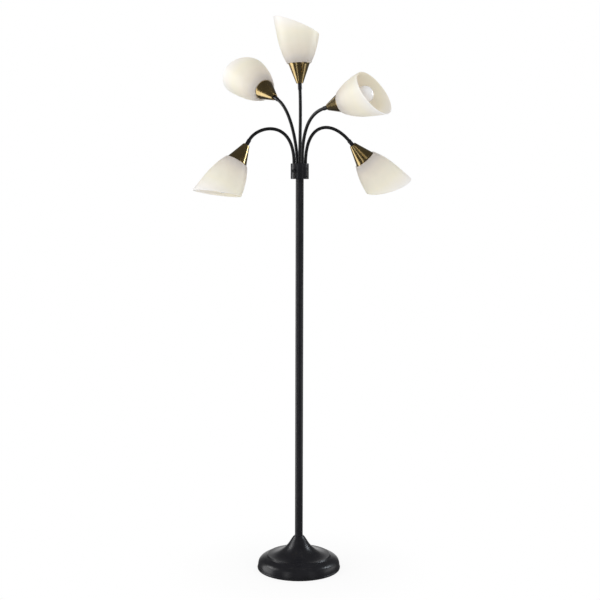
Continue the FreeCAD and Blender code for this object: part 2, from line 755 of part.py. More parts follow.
def shade_solid():
    """A tulip with a flanged foot, its mouth cut off on a slant."""
    outer = set_in(shade_points(), 0)
    inner = set_in(shade_points(), size("shade_wall"))
    hole = size("holder_sleeve_radius") + size("seat_fit") + size("thread_fit")
    foot = size("shade_flange")
    inner = [(inner[0][0] + size("shade_wall") / 2, foot)] + inner[1:]
    edges = [smooth(outer), smooth(inner)]
    edges += straight([outer[-1], inner[-1]])
    edges += straight([inner[0], (hole, foot), (hole, 0), outer[0]])
    tulip = revolved(edges)
    mouth, long_side = size("shade_mouth_radius"), size("shade_long_side")
    slope = math.atan2(long_side - size("shade_short_side"), mouth + size("shade_upper_radius"))
    reach = 3 * mouth
    knife = Part.makeBox(2 * reach, 2 * reach, reach, Vector(-reach, -reach, 0))
    knife.Placement = Placement(
        Vector(mouth, 0, long_side), Rotation(Vector(0, 1, 0), -math.degrees(slope)))
    return tulip.cut(knife)


def make_heads():
    shade, bulb = shade_solid(), bulb_solid()
    bulb_seat = size("cone_length") + size("holder_core")
    for arm_name in ARMS:
        placement = head_placement(arm_name)
        make_ferrule(arm_name, placement)
        make_cone(arm_name, placement)
        make_lampholder(arm_name, placement)
        make_shade_ring(arm_name, placement)
        shade_piece = scripted(arm_name + "_shade", shade.copy())
        keep(seat_on(shade_piece, placement, size("cone_length")), arm_name + "_shade")
        bulb_piece = scripted(arm_name + "_bulb", bulb.copy())
        keep(seat_on(bulb_piece, placement, bulb_seat), arm_name + "_bulb")


# ---------------------------------------------------------------- make everything, test it, write it
make_base_felt()
make_base_weight()
make_base_cover()
make_cord_grommet()
make_base_fasteners()
make_pole()
make_pole_wire()
make_hub()
make_set_screws()
make_neck_nuts()
make_switch()
for arm_name in ARMS:
    make_neck(arm_name)
make_heads()
doc.recompute()

for feature in doc.Objects:
    broken = [word for word in feature.State if word in ("Invalid", "Error")]
    if broken:
        raise RuntimeError("%s did not rebuild: %s" % (feature.Name, broken))

os.makedirs("parts", exist_ok=True)
for feature in sub_parts:
    shape = feature.Shape
    if shape.isNull() or not shape.isValid() or not shape.Solids:
        raise RuntimeError("%s has no valid solid" % feature.Label)
    shape.exportStep("parts/%s.step" % feature.Label)
print("wrote", len(sub_parts), "sub-parts")
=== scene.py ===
# %% [markdown]
# # The looks of a tree floor lamp
# The lamp is already built as solids: a weighted foot, a pole, a hub and five flexible necks with
# brass cones and frosted shades. This notebook loads those solids as a fixed frame, gives each one
# the finish of the real lamp, and models anew what a plain solid can't show, such as the rolled lips
# of the shades, the thread of a bulb's cap and the ribs of a knob.

# %% Load the frame
import json
import math

import bpy
from mathutils import Matrix, Quaternion, Vector


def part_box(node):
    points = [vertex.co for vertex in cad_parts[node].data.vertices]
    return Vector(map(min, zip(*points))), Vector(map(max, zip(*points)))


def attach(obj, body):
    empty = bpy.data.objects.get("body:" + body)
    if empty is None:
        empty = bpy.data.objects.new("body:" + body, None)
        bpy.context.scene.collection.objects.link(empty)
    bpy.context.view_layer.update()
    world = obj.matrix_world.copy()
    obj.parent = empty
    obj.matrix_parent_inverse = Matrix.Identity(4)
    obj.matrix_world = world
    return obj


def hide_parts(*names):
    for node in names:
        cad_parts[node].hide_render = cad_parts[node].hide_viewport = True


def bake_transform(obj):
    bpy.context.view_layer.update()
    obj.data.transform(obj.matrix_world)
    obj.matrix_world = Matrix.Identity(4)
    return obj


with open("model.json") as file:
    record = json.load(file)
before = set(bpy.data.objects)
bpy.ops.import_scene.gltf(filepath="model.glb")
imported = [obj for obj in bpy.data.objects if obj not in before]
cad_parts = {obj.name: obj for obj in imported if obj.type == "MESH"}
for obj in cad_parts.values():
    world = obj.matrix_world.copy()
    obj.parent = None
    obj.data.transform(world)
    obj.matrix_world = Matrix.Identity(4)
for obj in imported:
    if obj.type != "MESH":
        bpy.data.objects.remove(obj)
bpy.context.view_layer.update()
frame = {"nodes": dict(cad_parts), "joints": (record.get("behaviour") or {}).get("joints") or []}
nodes = frame["nodes"]
joints = {joint["name"]: joint for joint in frame["joints"]}

# %% [markdown]
# ## The camera
# The photograph was taken from a little over 3 m away with a long lens, which keeps the pole's sides
# nearly parallel. The camera looks along +Y from a bit below the hub, tips down by 5 degrees and leans
# by a seventh of a degree. It is made first, because every later choice is judged through it.

# %% Camera
CAMERA_PLACE = Vector((0.0018, -3.3864, 1.1568))
CAMERA_TIP = math.radians(84.748)
CAMERA_ROLL = math.radians(0.146)
CAMERA_LENS_MM = 66.23
SENSOR_MM = 36.0

camera_data = bpy.data.cameras.new("photo_camera")
camera_data.lens = CAMERA_LENS_MM
camera_data.sensor_width = SENSOR_MM
camera_data.clip_end = 50.0
camera = bpy.data.objects.new("photo_camera", camera_data)
camera.location = CAMERA_PLACE
camera.rotation_mode = "QUATERNION"
camera.rotation_quaternion = Quaternion((1, 0, 0), CAMERA_TIP) @ Quaternion((0, 0, 1), CAMERA_ROLL)
bpy.context.scene.collection.objects.link(camera)
bpy.context.scene.camera = camera
bpy.context.scene.view_settings.view_transform = "Standard"
print("camera at", [round(x, 3) for x in camera.location])

# %% [markdown]
# ## Real sizes
# Everything below is measured in metres, in the frame's own place, so a piece modelled here fits the
# solid that it stands for. The driving sizes are written in millimetres, as a maker would.

# %% Sizes of the heads
MM = 0.001
HUB_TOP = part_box("hub_top_plate")[1].z
FERRULE_LENGTH = 18 * MM
NECK_RADIUS = 5 * MM
NECK_TAIL = 10 * MM

CONE_SMALL_RADIUS = 10.25 * MM
CONE_RIM_RADIUS = 33 * MM
CONE_LENGTH = 60 * MM
CONE_WALL = 0.9 * MM
STEM_RADIUS = 4.95 * MM

SHADE_WALL = 2.2 * MM
SHADE_HOLE_RADIUS = 19.5 * MM
SHADE_LONG_SIDE = 141.4 * MM
SHADE_SHORT_SIDE = 84.5 * MM
SHADE_MOUTH_RADIUS = 72.2 * MM
SHADE_LINE = [(0.0, 36.4 * MM), (27.6 * MM, 49.1 * MM), (57.1 * MM, 58.3 * MM), (86.7 * MM, 64.1 * MM),
              (SHADE_LONG_SIDE, SHADE_MOUTH_RADIUS)]

BULB_FOOT = CONE_LENGTH + 8 * MM
BULB_LENGTH = 96 * MM
BULB_RADIUS = 25 * MM
BULB_NECK_RADIUS = 14.5 * MM
CAP_RADIUS = 13.2 * MM
CAP_LENGTH = 26 * MM

# Each arm: how far its neck keeps to its own way at the root and at the head (the pulls of its curve),
# where the cone's small end is, in millimetres and degrees, and how the head is aimed.
ARMS = {
    "left_low": dict(root_pull=134.0, head_pull=53.5, reach=166.1, bearing=195.6, rise=53.6,
                     aim_bearing=203.2, aim_tilt=148.5, roll=185.7),
    "right_low": dict(root_pull=129.5, head_pull=83.0, reach=173.3, bearing=20.0, rise=59.8,
                      aim_bearing=16.8, aim_tilt=137.3, roll=210.8),
    "left_high": dict(root_pull=44.0, head_pull=82.0, reach=127.1, bearing=128.4, rise=208.0,
                      aim_bearing=127.8, aim_tilt=63.3, roll=69.5),
    "right_high": dict(root_pull=69.0, head_pull=75.0, reach=165.4, bearing=-60.1, rise=158.7,
                       aim_bearing=-42.3, aim_tilt=78.6, roll=-12.2),
    "centre": dict(root_pull=80.0, head_pull=80.0, reach=0.5, bearing=180.0, rise=240.4,
                   aim_bearing=181.5, aim_tilt=2.3, roll=2.5),
}


def turn_about(axis, degrees):
    return Matrix.Rotation(math.radians(degrees), 4, axis)


def head_place(arm):
    """The matrix that sets a head in the frame: local Z is its axis, local X its shade's long side."""
    sizes = ARMS[arm]
    out = turn_about("Z", sizes["bearing"]) @ Vector((sizes["reach"] * MM, 0, 0))
    tip = out + Vector((0, 0, HUB_TOP + sizes["rise"] * MM))
    aim = turn_about("Z", sizes["aim_bearing"]) @ turn_about("Y", sizes["aim_tilt"])
    return Matrix.Translation(tip) @ aim @ turn_about("Z", sizes["roll"])


for arm in ARMS:
    print(arm, "cone's small end", [round(x, 3) for x in head_place(arm).translation])

# %% [markdown]
# ## Small helpers
# Colours are written as sRGB hex, as on a paint card, and one function turns them to the linear
# values that Blender's shaders use. One function adds a node with its settings and its links, and a few
# short ones build on it for what every finish needs.

# %% Helpers for materials
NODE_STEP, NODES_ROOM, NODE_HEIGHT = 180, 14, 320


def linear(hex_colour):
    """An sRGB hex colour as linear red, green, blue and alpha."""
    shares = [int(hex_colour[i:i + 2], 16) / 255 for i in (1, 3, 5)]
    return tuple(c / 12.92 if c <= 0.04045 else ((c + 0.055) / 1.055) ** 2.4 for c in shares) + (1.0,)


def add_node(tree, kind, settings=None, inputs=None, stops=None):
    """Add a node; an input takes a value or another node's output, and a ramp takes (place, colour)."""
    node = tree.nodes.new(kind)
    node.location = (NODE_STEP * (len(tree.nodes) - NODES_ROOM), NODE_HEIGHT)
    for name, value in (settings or {}).items():
        setattr(node, name, value)
    for name, value in (inputs or {}).items():
        if isinstance(value, bpy.types.NodeSocket):
            tree.links.new(value, node.inputs[name])
        else:
            node.inputs[name].default_value = value
    for index, (place, colour) in enumerate(stops or []):
        elements = node.color_ramp.elements
        stop = elements[index] if index < 2 else elements.new(place)
        stop.position, stop.color = place, colour
    return node


def new_material(name, finish):
    """A material whose constant values sit on the shader's own sockets."""
    material = bpy.data.materials.new(name)
    material.use_nodes = True
    surface = material.node_tree.nodes["Principled BSDF"]
    for socket, value in finish.items():
        surface.inputs[socket].default_value = value
    return material, material.node_tree, surface


def per_mm(spacing_mm):
    """The scale of a texture that repeats about every so many millimetres, in metre coordinates."""
    return 1.0 / (spacing_mm * MM)


def noise(tree, place, size_mm, detail, roughness=0.5):
    """A noise whose spots are about so many millimetres across."""
    return add_node(tree, "ShaderNodeTexNoise", inputs={
        "Vector": place, "Scale": per_mm(size_mm), "Detail": detail, "Roughness": roughness})


def spread(tree, value, old_span, new_span, way="LINEAR"):
    """Carry a value over from one span to another."""
    return add_node(tree, "ShaderNodeMapRange", {"interpolation_type": way}, {
        "Value": value, "From Min": old_span[0], "From Max": old_span[1],
        "To Min": new_span[0], "To Max": new_span[1]})


def link_surface(tree, surface, colour, roughness, bump):
    """Link a colour, the result of a roughness and the normal of a bump to the shader."""
    tree.links.new(colour, surface.inputs["Base Color"])
    tree.links.new(roughness.outputs["Result"], surface.inputs["Roughness"])
    tree.links.new(bump.outputs["Normal"], surface.inputs["Normal"])


# %% [markdown]
# ## Black enamel
# The foot, the pole and the hub are steel, sprayed with black enamel that sets to a semi gloss. Sprayed
# enamel is never quite flat: it sets with a fine orange peel, which breaks the edge of every reflection,
# and its gloss drifts a little every few centimetres. Two noises do this, one coarse for the drift and
# one fine for the peel, both in Object coordinates so that they stay on the metal.

# %% Semi-gloss black enamel
ENAMEL_DRIFT_MM = 40
ENAMEL_PEEL_MM = 1.4


def semi_gloss_black_enamel():
    """Sprayed enamel: nearly black with a cool cast, IOR 1.5, gloss broken by orange peel."""
    material, tree, surface = new_material("semi_gloss_black_enamel", {"IOR": 1.5})
    place = add_node(tree, "ShaderNodeTexCoord")
    drift = noise(tree, place.outputs["Object"], ENAMEL_DRIFT_MM, 3.0)
    colour = add_node(tree, "ShaderNodeValToRGB", inputs={"Fac": drift.outputs["Fac"]}, stops=[
        (0.35, linear("#17171b")), (0.65, linear("#1c1c21"))])
    gloss = spread(tree, drift.outputs["Fac"], (0.3, 0.7), (0.27, 0.33))
    peel = noise(tree, place.outputs["Object"], ENAMEL_PEEL_MM, 1.0)
    bump = add_node(tree, "ShaderNodeBump", inputs={
        "Height": peel.outputs["Fac"], "Strength": 0.1, "Distance": 0.006 * MM})
    link_surface(tree, surface, colour.outputs["Color"], gloss, bump)
    return material


ENAMEL = semi_gloss_black_enamel()
print("made", ENAMEL.name)

# %% [markdown]
# ## The necks' sleeve
# A flexible neck is a coil of steel wire wound edge to edge, so that it stays where it is bent. A
# black vinyl sleeve covers it, and the coil's turns only just show through as fine ribs. Each neck
# carries a UV map whose u goes once round and whose v is the run along the neck in metres, so one
# turn of u against v makes a true screw thread.

# %% Vinyl sleeve over a wound neck
COIL_PITCH_MM = 2.6
SCUFF_MM = 9


def black_neck_sleeve():
    """Vinyl shrunk over the coil: a softer gloss than the enamel, with the turns showing faintly."""
    material, tree, surface = new_material("black_neck_sleeve", {"IOR": 1.5})
    own_map = add_node(tree, "ShaderNodeUVMap", {"uv_map": "neck_map"})
    split = add_node(tree, "ShaderNodeSeparateXYZ", inputs={"Vector": own_map.outputs["UV"]})
    turns = add_node(tree, "ShaderNodeMath", {"operation": "MULTIPLY"}, {
        0: split.outputs["Y"], 1: per_mm(COIL_PITCH_MM)})
    screw = add_node(tree, "ShaderNodeMath", {"operation": "ADD"}, {
        0: turns.outputs["Value"], 1: split.outputs["X"]})
    angle = add_node(tree, "ShaderNodeMath", {"operation": "MULTIPLY"}, {
        0: screw.outputs["Value"], 1: 2 * math.pi})
    ribs = add_node(tree, "ShaderNodeMath", {"operation": "SINE"}, {0: angle.outputs["Value"]})
    place = add_node(tree, "ShaderNodeTexCoord")
    scuffs = noise(tree, place.outputs["Object"], SCUFF_MM, 5.0, 0.6)
    colour = add_node(tree, "ShaderNodeValToRGB", inputs={"Fac": scuffs.outputs["Fac"]}, stops=[
        (0.3, linear("#101012")), (0.7, linear("#17171a"))])
    gloss = spread(tree, scuffs.outputs["Fac"], (0.3, 0.7), (0.34, 0.46))
    bump = add_node(tree, "ShaderNodeBump", inputs={
        "Height": ribs.outputs["Value"], "Strength": 0.3, "Distance": 0.015 * MM})
    link_surface(tree, surface, colour.outputs["Color"], gloss, bump)
    return material


SLEEVE = black_neck_sleeve()
print("made", SLEEVE.name)

# %% [markdown]
# ## Antique brass
# The cones are spun from sheet, plated with brass, toned down and lacquered. Spinning leaves fine rings
# round the axis, which stretch every highlight along the cone, so the shader is a little anisotropic
# and its tangent runs round the piece. The lacquer is a coat of its own: it lays a sharp, pale
# reflection of the lights over the warm, softer one of the metal. The toning is uneven, a little
# browner in patches. The rings are really about a tenth of a millimetre apart and are drawn coarser.

# %% Spun and lacquered brass
RING_MM = 0.6
RING_SQUEEZE = 0.04
TONE_MM = 30


def antique_brass():
    """Toned and lacquered brass plate: a warm metal, darker in patches, brushed round its axis."""
    material, tree, surface = new_material("antique_brass", {
        "Metallic": 1.0, "Anisotropic": 0.3, "Coat Weight": 1.0, "Coat Roughness": 0.08})
    own = add_node(tree, "ShaderNodeAttribute", {"attribute_name": "own_place"})
    rings_place = add_node(tree, "ShaderNodeMapping", inputs={
        "Vector": own.outputs["Vector"], "Scale": (RING_SQUEEZE, RING_SQUEEZE, 1.0)})
    rings = noise(tree, rings_place.outputs["Vector"], RING_MM, 2.0)
    tone = noise(tree, own.outputs["Vector"], TONE_MM, 3.0)
    colour = add_node(tree, "ShaderNodeValToRGB", inputs={"Fac": tone.outputs["Fac"]}, stops=[
        (0.32, linear("#a68d58")), (0.68, linear("#bca46c"))])
    shade = spread(tree, rings.outputs["Fac"], (0.25, 0.75), (0.93, 1.0))
    lined = add_node(tree, "ShaderNodeMix", {"data_type": "RGBA", "blend_type": "MULTIPLY"}, {
        0: 1.0, 6: colour.outputs["Color"], 7: shade.outputs["Result"]})
    gloss = spread(tree, rings.outputs["Fac"], (0.25, 0.75), (0.22, 0.16))
    bump = add_node(tree, "ShaderNodeBump", inputs={
        "Height": rings.outputs["Fac"], "Strength": 0.1, "Distance": 0.005 * MM})
    tangent = add_node(tree, "ShaderNodeTangent", {"direction_type": "UV_MAP", "uv_map": "turned_map"})
    link_surface(tree, surface, lined.outputs[2], gloss, bump)
    tree.links.new(tangent.outputs["Tangent"], surface.inputs["Tangent"])
    return material


BRASS = antique_brass()
print("made", BRASS.name)

# %% [markdown]
# ## Frosted shades
# The shades are moulded in a milky plastic like frosted glass. Light gets right through the thin wall,
# scattered on its way, so each shade is lit softly from both sides and its inside is nearly as bright
# as its outside: a strong subsurface whose reach is longer than the wall is thick. Painted light and
# shade are laid over this in the colour: greyer near the cone, a painted shadow of the dark lampholder
# that stands behind the wall, a painted warm glow in the middle and a soft grey white at the rim. These
# painted bands are looked up by the height on the shade itself, which each point carries with it, and a
# slow noise moves them a little up and down. All five shades share one material.

# %% Frosted white plastic
BAND_SWAY_MM = 45
BAND_SWAY_REACH = 9 * MM
FROST_MM = 0.9
# Painted light and shade by height in mm above the shade's foot: a painted shadow of the lampholder near the
# cone, a painted warm glow in the middle, a soft grey white at the rim.
SHADE_PAINTED_LIGHT_TONES = [(0, "#c4bdb6"), (12, "#d3cbc3"), (27, "#e6dacb"), (52, "#f8e7d2"), (88, "#fbead2"),
               (118, "#f5e9dc"), (141, "#f0ebe6")]


def frosted_white():
    """Milky moulded plastic: satin outside, lit from within by what falls on either side of it."""
    material, tree, surface = new_material("frosted_white", {
        "IOR": 1.49, "Subsurface Weight": 1.0, "Subsurface Radius": (1.0, 0.95, 0.9),
        "Subsurface Scale": 9 * MM})
    own = add_node(tree, "ShaderNodeAttribute", {"attribute_name": "own_place"})
    split = add_node(tree, "ShaderNodeSeparateXYZ", inputs={"Vector": own.outputs["Vector"]})
    # A slow noise sways the painted bands of light and shade up and down.
    band_noise = noise(tree, own.outputs["Vector"], BAND_SWAY_MM, 1.0)
    drift = spread(tree, band_noise.outputs["Fac"], (0.0, 1.0), (-BAND_SWAY_REACH, BAND_SWAY_REACH))
    height = add_node(tree, "ShaderNodeMath", {"operation": "ADD"}, {
        0: split.outputs["Z"], 1: drift.outputs["Result"]})
    share = spread(tree, height.outputs["Value"], (CONE_LENGTH, CONE_LENGTH + SHADE_LONG_SIDE), (0.0, 1.0))
    # This ramp paints light and shade on the shade by its height.
    colour = add_node(tree, "ShaderNodeValToRGB", inputs={"Fac": share.outputs["Result"]}, stops=[
        (up_mm * MM / SHADE_LONG_SIDE, linear(tone)) for up_mm, tone in SHADE_PAINTED_LIGHT_TONES])
    frost = noise(tree, own.outputs["Vector"], FROST_MM, 2.0)
    gloss = spread(tree, frost.outputs["Fac"], (0.0, 1.0), (0.40, 0.52))
    bump = add_node(tree, "ShaderNodeBump", inputs={
        "Height": frost.outputs["Fac"], "Strength": 0.1, "Distance": 0.02 * MM})
    link_surface(tree, surface, colour.outputs["Color"], gloss, bump)
    return material


FROSTED = frosted_white()
print("made", FROSTED.name)

# %% [markdown]
# ## Plain finishes
# The smaller pieces need simpler finishes: a colour that drifts between two tones, a gloss that
# drifts with it and a grain. One function makes them all from real values, and each gets the grain
# size that its own surface has: cast iron is coarse, moulded plastic is fine, felt is fibrous.

# %% Finishes made from two tones and a grain


def grained(name, tones, gloss, grain_mm, depth_mm, constants, detail=3.0):
    """A finish from two tones, two roughnesses and a grain of a real size and depth."""
    material, tree, surface = new_material(name, constants)
    place = add_node(tree, "ShaderNodeTexCoord")
    grain = noise(tree, place.outputs["Object"], grain_mm, detail)
    colour = add_node(tree, "ShaderNodeValToRGB", inputs={"Fac": grain.outputs["Fac"]}, stops=[
        (0.35, linear(tones[0])), (0.65, linear(tones[1]))])
    roughness = spread(tree, grain.outputs["Fac"], (0.3, 0.7), (gloss[0], gloss[1]))
    bump = add_node(tree, "ShaderNodeBump", inputs={
        "Height": grain.outputs["Fac"], "Strength": 0.6, "Distance": depth_mm * MM})
    link_surface(tree, surface, colour.outputs["Color"], roughness, bump)
    return material


# Opal glass: a white coat inside clear glass, so it is very smooth, a little cool and lit through.
OPAL = grained("opal_bulb_glass", ("#f6f8fb", "#fbfcfd"), (0.10, 0.14), 30, 0.002, {
    "IOR": 1.52, "Coat Weight": 0.6, "Coat Roughness": 0.05, "Subsurface Weight": 0.6,
    "Subsurface Radius": (1.0, 1.0, 1.0), "Subsurface Scale": 8 * MM})
# Nickel plate on the bulb's pressed brass cap, and a solder drop of tin.
NICKEL = grained("nickel_plated_cap", ("#b9b4a8", "#cfcabf"), (0.25, 0.38), 3, 0.004, {"Metallic": 1.0})
# Phenolic moulding: hard, faintly mottled, with the mould's fine matt.
PHENOLIC = grained("black_phenolic", ("#0f0f10", "#191919"), (0.38, 0.5), 0.7, 0.01, {"IOR": 1.6})
# Moulded ABS of the knob.
KNOB_PLASTIC = grained("black_abs", ("#131315", "#1b1b1d"), (0.26, 0.36), 1.1, 0.006, {"IOR": 1.54})
# Zinc plate: a bluish metal with a fine spangle.
ZINC = grained("zinc_plated_steel", ("#a9adb2", "#c6c9cc"), (0.3, 0.45), 1.6, 0.004, {"Metallic": 1.0})
# Blackened steel of the set screws: a dark oxide that keeps the metal's gloss.
BLACK_STEEL = grained("blackened_steel", ("#232325", "#303033"), (0.28, 0.4), 0.9, 0.003, {"Metallic": 1.0})
# Grey iron as cast, painted thinly: sand grain about half a millimetre across.
IRON = grained("grey_cast_iron", ("#2b2b2c", "#3c3b3a"), (0.6, 0.8), 0.8, 0.15, {"IOR": 1.5}, 5.0)
# Rubber: very dark and matt.
RUBBER = grained("black_rubber", ("#101010", "#1a1a1a"), (0.6, 0.75), 0.5, 0.01, {"IOR": 1.52})
# Soft vinyl over the supply lead.
LEAD_VINYL = grained("black_lead_vinyl", ("#151515", "#1d1d1d"), (0.4, 0.5), 0.8, 0.008, {"IOR": 1.53})
# Wool felt: short fibres a few hundredths of a millimetre thick, drawn coarser, with a soft sheen.
FELT = grained("black_wool_felt", ("#121212", "#232324"), (0.9, 1.0), 0.45, 0.2, {
    "Sheen Weight": 0.3, "Sheen Roughness": 0.5}, 6.0)
print("made", len(bpy.data.materials), "materials")

# %% [markdown]
# ## The solids
# Every solid gets its finish. Where it already has the real shape, nothing else is done to it, because
# the frame's solids carry their own smooth normals. The others are stood for by the pieces made below.

# %% Dress the solids
DRESSED = {
    ENAMEL: ["base_cover", "pole_lower", "pole_middle", "pole_upper", "hub_body", "hub_top_plate",
             "switch_nut"] + [arm + "_ferrule" for arm in ARMS],
    IRON: ["base_weight"],
    RUBBER: ["cord_grommet"],
    LEAD_VINYL: ["pole_wire"],
    ZINC: ["base_washer", "base_nut", "base_nipple", "pole_coupler_lower", "pole_coupler_upper",
           "neck_nuts"],
    BLACK_STEEL: ["hub_set_screws"],
    PHENOLIC: ["switch_body"] + [arm + "_" + kind for arm in ARMS for kind in ("lampholder", "shade_ring")],
    KNOB_PLASTIC: ["switch_knob"],
    FELT: ["base_felt"],
    SLEEVE: [arm + "_neck_" + half for arm in ARMS for half in ("lower", "upper")],
    BRASS: [arm + "_cone" for arm in ARMS],
    FROSTED: [arm + "_shade" for arm in ARMS],
    OPAL: [arm + "_bulb" for arm in ARMS],
}
for material, names in DRESSED.items():
    for name in names:
        nodes[name].data.materials.clear()
        nodes[name].data.materials.append(material)
print("dressed", sum(len(names) for names in DRESSED.values()), "of", len(nodes), "nodes")

# %% [markdown]
# ## Turned pieces
# Shades, cones, bulbs and knobs are all round, so they are modelled alike: a ring is added at the
# foot of the outline and drawn up through it by extruding and scaling, as on a lathe. Doing it once,
# upright at the origin, keeps the numbers easy to read. A copy is then set on each head. Every point
# also keeps its place on the upright piece, so that patterns follow the piece wherever it is turned.

# %% Helpers for turned pieces
WELD = 0.001 * MM
NEAR = 0.01 * MM


def start_ring(name, radius, height, sides):
    """Add a ring of points round Z and open it in edit mode, all selected."""
    bpy.ops.object.select_all(action="DESELECT")
    bpy.ops.mesh.primitive_circle_add(vertices=sides, radius=radius, location=(0, 0, height))
    piece = bpy.context.object
    piece.name = name
    bpy.ops.object.transform_apply(location=True)
    bpy.ops.object.mode_set(mode="EDIT")
    bpy.ops.mesh.select_all(action="SELECT")
    return piece


def draw_up(outline):
    """Draw the selected ring through an outline of (radius, height), starting from its first point."""
    for (radius, height), (next_radius, next_height) in zip(outline, outline[1:]):
        bpy.ops.mesh.extrude_region_move(TRANSFORM_OT_translate={"value": (0, 0, next_height - height)})
        share = next_radius / radius
        bpy.ops.transform.resize(value=(share, share, 1), center_override=(0, 0, next_height))


def close_end():
    """Draw the selected ring in to a point on the axis."""
    bpy.ops.mesh.merge(type="CENTER")


def select_low_edges(piece, below, within=math.inf):
    """Select only the edges whose ends are below a height and within a radius of the axis."""
    bpy.ops.mesh.select_mode(type="EDGE")
    bpy.ops.mesh.select_all(action="DESELECT")
    bpy.ops.object.mode_set(mode="OBJECT")
    for edge in piece.data.edges:
        ends = [piece.data.vertices[i].co for i in edge.vertices]
        edge.select = all(end.z < below and end.xy.length < within for end in ends)
    bpy.ops.object.mode_set(mode="EDIT")


def point_outwards(piece):
    """Leave edit mode with the faces pointing away from the axis, whichever way they were drawn."""
    bpy.ops.mesh.select_all(action="SELECT")
    bpy.ops.mesh.remove_doubles(threshold=WELD)
    bpy.ops.mesh.normals_make_consistent(inside=False)
    bpy.ops.object.mode_set(mode="OBJECT")
    outwards = sum(face.normal.dot(Vector((face.center.x, face.center.y, 0))) * face.area
                   for face in piece.data.polygons)
    if outwards < 0:
        bpy.ops.object.mode_set(mode="EDIT")
        bpy.ops.mesh.flip_normals()
        bpy.ops.object.mode_set(mode="OBJECT")


def apply_modifier(piece, kind, **settings):
    """Add a modifier, set it and apply it."""
    modifier = piece.modifiers.new(kind.lower(), kind)
    for name, value in settings.items():
        setattr(modifier, name, value)
    bpy.context.view_layer.objects.active = piece
    bpy.ops.object.modifier_apply(modifier=modifier.name)


def smooth_shading(piece, angle):
    bpy.ops.object.select_all(action="DESELECT")
    piece.select_set(True)
    bpy.context.view_layer.objects.active = piece
    bpy.ops.object.shade_smooth_by_angle(angle=math.radians(angle))


def map_round(mesh, layer, height_of):
    """Fill a map whose u goes once round Z and whose v is a height worked out for each corner."""
    for face in mesh.polygons:
        corners = [mesh.vertices[mesh.loops[loop].vertex_index].co for loop in face.loop_indices]
        shares = [math.atan2(corner.y, corner.x) / (2 * math.pi) % 1.0 for corner in corners]
        wraps = max(shares) - min(shares) > 0.5
        for loop, corner, share in zip(face.loop_indices, corners, shares):
            layer.data[loop].uv = (share + 1.0 if wraps and share < 0.5 else share, height_of(corner))


def keep_own_place(piece):
    """Store each point's place on the upright piece, and a map with u round it and v up it."""
    mesh = piece.data
    own = mesh.attributes.new("own_place", "FLOAT_VECTOR", "POINT")
    own.data.foreach_set("vector", [x for vertex in mesh.vertices for x in vertex.co])
    map_round(mesh, mesh.uv_layers.new(name="turned_map"), lambda corner: corner.z)


def finished(piece, angle):
    """Shade an upright piece smooth and store its own places, when its shape is done."""
    smooth_shading(piece, angle)
    keep_own_place(piece)
    return piece


def set_in_frame(piece, name, place, body, material, replaced):
    """Copy an upright piece to its place in the frame, with its own mesh, riding on its body."""
    mesh = piece.data.copy()
    mesh.transform(place)
    if not mesh.materials:
        mesh.materials.append(material)
    copy = bpy.data.objects.new(name, mesh)
    bpy.context.scene.collection.objects.link(copy)
    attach(copy, body)
    if replaced:
        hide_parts(*replaced)
    return copy


def set_on_heads(piece, kind, material, replaced=True):
    """One copy on each arm's head, and the upright piece itself is removed."""
    for arm in ARMS:
        set_in_frame(piece, arm + "_" + kind + "_looks", head_place(arm), arm + "_head", material,
                     [arm + "_" + kind] if replaced else [])
    print(kind, "points", len(piece.data.vertices), "faces", len(piece.data.polygons))
    bpy.data.objects.remove(piece)


# %% [markdown]
# ## The shades
# A shade is a tulip whose mouth is cut on a slant. Cutting a finished tulip with a plane would leave
# slivers along the rim, and a rounded lip needs clean rows of faces. So the rings are drawn up as a
# plain tube first, and then every point is moved once: each column of points is stretched to its own
# height at the slanted mouth, and each point gets the radius that the tulip has at its height. A wall
# and a rounded lip follow as modifiers.

# %% Shades
SHADE_SIDES = 128
SHADE_ROWS = 30
FOOT_MIDDLE = 0.72
LIP_ROUND = 0.95 * MM
LIP_ANGLE = 50
MOUTH_ROUNDS = 12
SLANT = (SHADE_LONG_SIDE - SHADE_SHORT_SIDE) / (SHADE_MOUTH_RADIUS + SHADE_LINE[-2][1])


def shade_radius(height):
    """The tulip's outer radius at a height: a smooth cubic through the points of its line."""
    heights = [point[0] for point in SHADE_LINE]
    radii = [point[1] for point in SHADE_LINE]
    slopes = [(radii[i + 1] - radii[i]) / (heights[i + 1] - heights[i]) for i in range(len(radii) - 1)]
    ways = [slopes[0] + (slopes[0] - slopes[1]) / 2]
    ways += [(before + after) / 2 for before, after in zip(slopes, slopes[1:])]
    ways += [slopes[-1] - (slopes[-2] - slopes[-1]) / 2]
    index = min(max(sum(height > h for h in heights) - 1, 0), len(slopes) - 1)
    span = heights[index + 1] - heights[index]
    t = (height - heights[index]) / span
    return ((1 + 2 * t) * (1 - t) ** 2 * radii[index] + t * (1 - t) ** 2 * span * ways[index]
            + t * t * (3 - 2 * t) * radii[index + 1] + t * t * (t - 1) * span * ways[index + 1])


def mouth_height(angle):
    """The height of the slanted mouth at an angle round the axis, by going round until it settles."""
    height = SHADE_SHORT_SIDE
    for _ in range(MOUTH_ROUNDS):
        height = SHADE_LONG_SIDE + SLANT * (shade_radius(height) * math.cos(angle) - SHADE_MOUTH_RADIUS)
    return height


